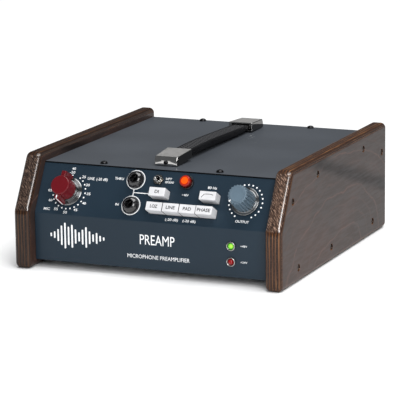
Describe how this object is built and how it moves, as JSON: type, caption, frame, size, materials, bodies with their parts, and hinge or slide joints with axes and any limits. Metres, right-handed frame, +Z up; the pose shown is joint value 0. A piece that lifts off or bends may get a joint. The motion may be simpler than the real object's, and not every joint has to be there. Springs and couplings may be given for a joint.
{
  "type": "desktop microphone preamp",
  "caption": "Desktop microphone preamp: sloped control panel with knobs, push buttons, jacks and a toggle, between plywood cheeks, with a strap handle on the lid.",
  "frame": {"origin": "under the middle of the whole object, on the table", "axes": "+X to the right seen from the front, +Y to the rear, +Z up; the control panel faces -Y"},
  "size_m": [0.245, 0.2626, 0.0984],
  "materials": {
    "lacquered_ply": "dark stained birch plywood under clear lacquer, ply lines on its edges",
    "tray_steel": "zinc plated sheet",
    "panel_paint": "blue-grey satin powder coat",
    "lid_paint": "grey satin powder coat",
    "black_screw": "black oxide",
    "polished_nickel": "polished nickel, satin top",
    "strap_webbing": "ribbed black webbing",
    "red_knob": "satin crimson moulding",
    "blue_knob": "satin blue-grey moulding",
    "turned_aluminium": "turned, bright",
    "brass_shaft": "turned",
    "switch_nylon": "dark nylon",
    "pot_can": "plated can",
    "black_moulding": "glossy black",
    "bright_chrome": "bright chrome",
    "amber_lens": "translucent amber lens, lit",
    "white_cap": "smooth white moulding",
    "green_lens": "translucent green lens, lit",
    "red_lens": "translucent red lens, unlit",
    "black_connector": "black coated die casting",
    "circuit_board": "green solder mask",
    "transformer_can": "drawn screening can",
    "laminated_core": "varnished laminations",
    "capacitor_sleeve": "shrunk sleeve"
  },
  "bodies": {
    "chassis": {"left_cheek": "lacquered_ply", "right_cheek": "lacquered_ply", "chassis_tray": "tray_steel", "front_panel": "panel_paint", "rear_panel": "panel_paint", "top_cover": "lid_paint", "lid_screw_front_left": "black_screw", "lid_screw_front_right": "black_screw", "lid_screw_rear_left": "black_screw", "lid_screw_rear_right": "black_screw", "handle_screw_front": "black_screw", "handle_screw_rear": "black_screw", "handle_cap_front": "polished_nickel", "handle_cap_rear": "polished_nickel", "handle_strap": "strap_webbing", "gain_switch": "switch_nylon", "switch_bank": "switch_nylon", "switch_di": "switch_nylon", "switch_filter": "switch_nylon", "output_pot": "pot_can", "thru_jack": "black_moulding", "thru_jack_nut": "black_moulding", "di_jack": "black_moulding", "di_jack_nut": "black_moulding", "toggle_body": "black_moulding", "lamp_bezel": "black_moulding", "lamp_switch": "black_moulding", "power_inlet": "black_moulding", "toggle_nut": "bright_chrome", "green_led_bezel": "bright_chrome", "red_led_bezel": "bright_chrome", "green_led": "green_lens", "red_led": "red_lens", "input_xlr": "black_connector", "output_xlr": "black_connector", "main_board": "circuit_board", "control_board": "circuit_board", "input_transformer": "transformer_can", "output_transformer": "laminated_core", "supply_capacitor_1": "capacitor_sleeve", "supply_capacitor_2": "capacitor_sleeve"},
    "gain_control": {"gain_knob": "red_knob", "gain_skirt": "turned_aluminium", "gain_shaft": "brass_shaft"},
    "output_control": {"output_knob": "blue_knob", "output_skirt": "turned_aluminium", "output_shaft": "brass_shaft"},
    "toggle_arm": {"toggle_lever": "bright_chrome"},
    "lamp_button": {"lamp_lens": "amber_lens"},
    "latch": {"input_latch": "black_moulding"},
    "press_di": {"button_di": "white_cap"},
    "press_filter": {"button_filter": "white_cap"},
    "press_loz": {"button_loz": "white_cap"},
    "press_line": {"button_line": "white_cap"},
    "press_pad": {"button_pad": "white_cap"},
    "press_phase": {"button_phase": "white_cap"}
  },
  "joints": [
    {"name": "gain_turn", "type": "hinge", "parent": "chassis", "child": "gain_control", "pos_m": [-0.07885, -0.10859, 0.06536], "axis": [0, -0.8716, 0.4903], "range_deg": [-174, 155]},
    {"name": "output_turn", "type": "hinge", "parent": "chassis", "child": "output_control", "pos_m": [0.0825, -0.10675, 0.06863], "axis": [0, -0.8716, 0.4903], "range_deg": [-287, 12]},
    {"name": "toggle_flip", "type": "hinge", "parent": "chassis", "child": "toggle_arm", "pos_m": [0.0015, -0.10187, 0.08057], "axis": [-1, 0, 0], "range_deg": [0, 22]},
    {"name": "lamp_press", "type": "slide", "parent": "chassis", "child": "lamp_button", "axis": [0, 0.8716, -0.4903], "range_m": [0, 0.0015], "stiffness_N_per_m": 300, "springref_m": -0.002},
    {"name": "press_di_slide", "type": "slide", "parent": "chassis", "child": "press_di", "axis": [0, 0.8716, -0.4903], "range_m": [0, 0.003], "stiffness_N_per_m": 300, "springref_m": -0.002},
    {"name": "press_filter_slide", "type": "slide", "parent": "chassis", "child": "press_filter", "axis": [0, 0.8716, -0.4903], "range_m": [0, 0.003], "stiffness_N_per_m": 300, "springref_m": -0.002},
    {"name": "press_loz_slide", "type": "slide", "parent": "chassis", "child": "press_loz", "axis": [0, 0.8716, -0.4903], "range_m": [0, 0.003], "stiffness_N_per_m": 300, "springref_m": -0.002},
    {"name": "press_line_slide", "type": "slide", "parent": "chassis", "child": "press_line", "axis": [0, 0.8716, -0.4903], "range_m": [0, 0.003], "stiffness_N_per_m": 300, "springref_m": -0.002},
    {"name": "press_pad_slide", "type": "slide", "parent": "chassis", "child": "press_pad", "axis": [0, 0.8716, -0.4903], "range_m": [0, 0.003], "stiffness_N_per_m": 300, "springref_m": -0.002},
    {"name": "press_phase_slide", "type": "slide", "parent": "chassis", "child": "press_phase", "axis": [0, 0.8716, -0.4903], "range_m": [0, 0.003], "stiffness_N_per_m": 300, "springref_m": -0.002},
    {"name": "latch_slide", "type": "slide", "parent": "chassis", "child": "latch", "axis": [0, 0, -1], "range_m": [0, 0.0015], "stiffness_N_per_m": 300, "springref_m": -0.002}
  ]
}
